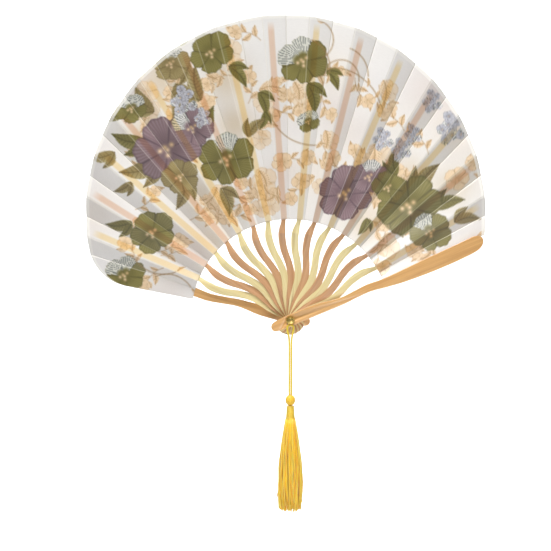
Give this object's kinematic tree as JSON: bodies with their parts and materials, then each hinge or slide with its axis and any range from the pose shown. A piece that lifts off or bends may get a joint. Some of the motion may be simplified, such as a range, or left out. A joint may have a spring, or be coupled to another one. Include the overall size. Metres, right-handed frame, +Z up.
{
  "type": "folding hand fan",
  "caption": "Open shell-shaped folding hand fan with S-curved bamboo ribs on a pin, a pleated silk leaf and a hanging tassel.",
  "frame": {"origin": "on the pivot pin's axis, at the middle of the stack of ribs", "axes": "+Z up through the middle of the open leaf, +X towards the front guard's side, -Y out of the printed front, pin along Y"},
  "size_m": [0.377, 0.0397, 0.4644],
  "materials": {
    "guard_bamboo": "polished bamboo, honey coloured, clear varnish",
    "light_bamboo": "planed natural bamboo, satin",
    "tan_bamboo": "planed steamed bamboo, satin",
    "printed_silk": "thin printed silk, satin sheen",
    "pin_brass": "polished brass",
    "yellow_cord": "twisted satin cord, lemon yellow",
    "yellow_thread": "wound rayon thread",
    "gold_thread": "loose glossy rayon threads, golden yellow"
  },
  "bodies": {
    "front_guard": {"front_guard": "guard_bamboo", "pivot_pin": "pin_brass", "front_washer": "pin_brass", "rear_washer": "pin_brass"},
    "rib_01": {"rib_01": "light_bamboo", "silk_pleat_01": "printed_silk"},
    "rib_02": {"rib_02": "tan_bamboo", "silk_pleat_02": "printed_silk"},
    "rib_03": {"rib_03": "light_bamboo", "silk_pleat_03": "printed_silk"},
    "rib_04": {"rib_04": "tan_bamboo", "silk_pleat_04": "printed_silk"},
    "rib_05": {"rib_05": "light_bamboo", "silk_pleat_05": "printed_silk"},
    "rib_06": {"rib_06": "tan_bamboo", "silk_pleat_06": "printed_silk"},
    "rib_07": {"rib_07": "light_bamboo", "silk_pleat_07": "printed_silk"},
    "rib_08": {"rib_08": "tan_bamboo", "silk_pleat_08": "printed_silk"},
    "rib_09": {"rib_09": "light_bamboo", "silk_pleat_09": "printed_silk"},
    "rib_10": {"rib_10": "tan_bamboo", "silk_pleat_10": "printed_silk"},
    "rib_11": {"rib_11": "light_bamboo", "silk_pleat_11": "printed_silk"},
    "rib_12": {"rib_12": "tan_bamboo", "silk_pleat_12": "printed_silk"},
    "rib_13": {"rib_13": "light_bamboo", "silk_pleat_13": "printed_silk"},
    "rib_14": {"rib_14": "tan_bamboo", "silk_pleat_14": "printed_silk"},
    "rib_15": {"rib_15": "light_bamboo", "silk_pleat_15": "printed_silk"},
    "rear_guard": {"rear_guard": "guard_bamboo", "silk_pleat_16": "printed_silk"},
    "swivel": {"swivel_eye": "pin_brass"},
    "tassel": {"hanging_cord": "yellow_cord", "tassel_head": "gold_thread", "tassel_neck": "yellow_thread", "tassel_skirt": "gold_thread"}
  },
  "joints": [
    {"name": "fold_01", "type": "hinge", "parent": "front_guard", "child": "rib_01", "pos_m": [0, 0, 0], "axis": [0, 1, 0], "range_deg": [0, 8.94], "deforming": ["silk_pleat_01"]},
    {"name": "fold_02", "type": "hinge", "parent": "rib_01", "child": "rib_02", "pos_m": [0, 0, 0], "axis": [0, 1, 0], "range_deg": [0, 8.94], "deforming": ["silk_pleat_02"]},
    {"name": "fold_03", "type": "hinge", "parent": "rib_02", "child": "rib_03", "pos_m": [0, 0, 0], "axis": [0, 1, 0], "range_deg": [0, 8.94], "deforming": ["silk_pleat_03"]},
    {"name": "fold_04", "type": "hinge", "parent": "rib_03", "child": "rib_04", "pos_m": [0, 0, 0], "axis": [0, 1, 0], "range_deg": [0, 8.94], "deforming": ["silk_pleat_04"]},
    {"name": "fold_05", "type": "hinge", "parent": "rib_04", "child": "rib_05", "pos_m": [0, 0, 0], "axis": [0, 1, 0], "range_deg": [0, 8.94], "deforming": ["silk_pleat_05"]},
    {"name": "fold_06", "type": "hinge", "parent": "rib_05", "child": "rib_06", "pos_m": [0, 0, 0], "axis": [0, 1, 0], "range_deg": [0, 8.94], "deforming": ["silk_pleat_06"]},
    {"name": "fold_07", "type": "hinge", "parent": "rib_06", "child": "rib_07", "pos_m": [0, 0, 0], "axis": [0, 1, 0], "range_deg": [0, 8.94], "deforming": ["silk_pleat_07"]},
    {"name": "fold_08", "type": "hinge", "parent": "rib_07", "child": "rib_08", "pos_m": [0, 0, 0], "axis": [0, 1, 0], "range_deg": [0, 8.94], "deforming": ["silk_pleat_08"]},
    {"name": "fold_09", "type": "hinge", "parent": "rib_08", "child": "rib_09", "pos_m": [0, 0, 0], "axis": [0, 1, 0], "range_deg": [0, 8.94], "deforming": ["silk_pleat_09"]},
    {"name": "fold_10", "type": "hinge", "parent": "rib_09", "child": "rib_10", "pos_m": [0, 0, 0], "axis": [0, 1, 0], "range_deg": [0, 8.94], "deforming": ["silk_pleat_10"]},
    {"name": "fold_11", "type": "hinge", "parent": "rib_10", "child": "rib_11", "pos_m": [0, 0, 0], "axis": [0, 1, 0], "range_deg": [0, 8.94], "deforming": ["silk_pleat_11"]},
    {"name": "fold_12", "type": "hinge", "parent": "rib_11", "child": "rib_12", "pos_m": [0, 0, 0], "axis": [0, 1, 0], "range_deg": [0, 8.94], "deforming": ["silk_pleat_12"]},
    {"name": "fold_13", "type": "hinge", "parent": "rib_12", "child": "rib_13", "pos_m": [0, 0, 0], "axis": [0, 1, 0], "range_deg": [0, 8.94], "deforming": ["silk_pleat_13"]},
    {"name": "fold_14", "type": "hinge", "parent": "rib_13", "child": "rib_14", "pos_m": [0, 0, 0], "axis": [0, 1, 0], "range_deg": [0, 8.94], "deforming": ["silk_pleat_14"]},
    {"name": "fold_15", "type": "hinge", "parent": "rib_14", "child": "rib_15", "pos_m": [0, 0, 0], "axis": [0, 1, 0], "range_deg": [0, 8.94], "deforming": ["silk_pleat_15"]},
    {"name": "fold_16", "type": "hinge", "parent": "rib_15", "child": "rear_guard", "pos_m": [0, 0, 0], "axis": [0, 1, 0], "range_deg": [0, 8.94], "deforming": ["silk_pleat_16"]},
    {"name": "eye_turn", "type": "hinge", "parent": "front_guard", "child": "swivel", "pos_m": [0, -0.01482, 0], "axis": [0, 1, 0], "range_deg": [-60, 60]},
    {"name": "tassel_swing", "type": "hinge", "parent": "swivel", "child": "tassel", "pos_m": [0, -0.01482, -0.0038], "axis": [1, 0, 0], "range_deg": [-60, 8]}
  ],
  "couplings": [
    {"joint": "fold_02", "follows": "fold_01", "ratio": 1},
    {"joint": "fold_03", "follows": "fold_01", "ratio": 1},
    {"joint": "fold_04", "follows": "fold_01", "ratio": 1},
    {"joint": "fold_05", "follows": "fold_01", "ratio": 1},
    {"joint": "fold_06", "follows": "fold_01", "ratio": 1},
    {"joint": "fold_07", "follows": "fold_01", "ratio": 1},
    {"joint": "fold_08", "follows": "fold_01", "ratio": 1},
    {"joint": "fold_09", "follows": "fold_01", "ratio": 1},
    {"joint": "fold_10", "follows": "fold_01", "ratio": 1},
    {"joint": "fold_11", "follows": "fold_01", "ratio": 1},
    {"joint": "fold_12", "follows": "fold_01", "ratio": 1},
    {"joint": "fold_13", "follows": "fold_01", "ratio": 1},
    {"joint": "fold_14", "follows": "fold_01", "ratio": 1},
    {"joint": "fold_15", "follows": "fold_01", "ratio": 1},
    {"joint": "fold_16", "follows": "fold_01", "ratio": 1}
  ]
}
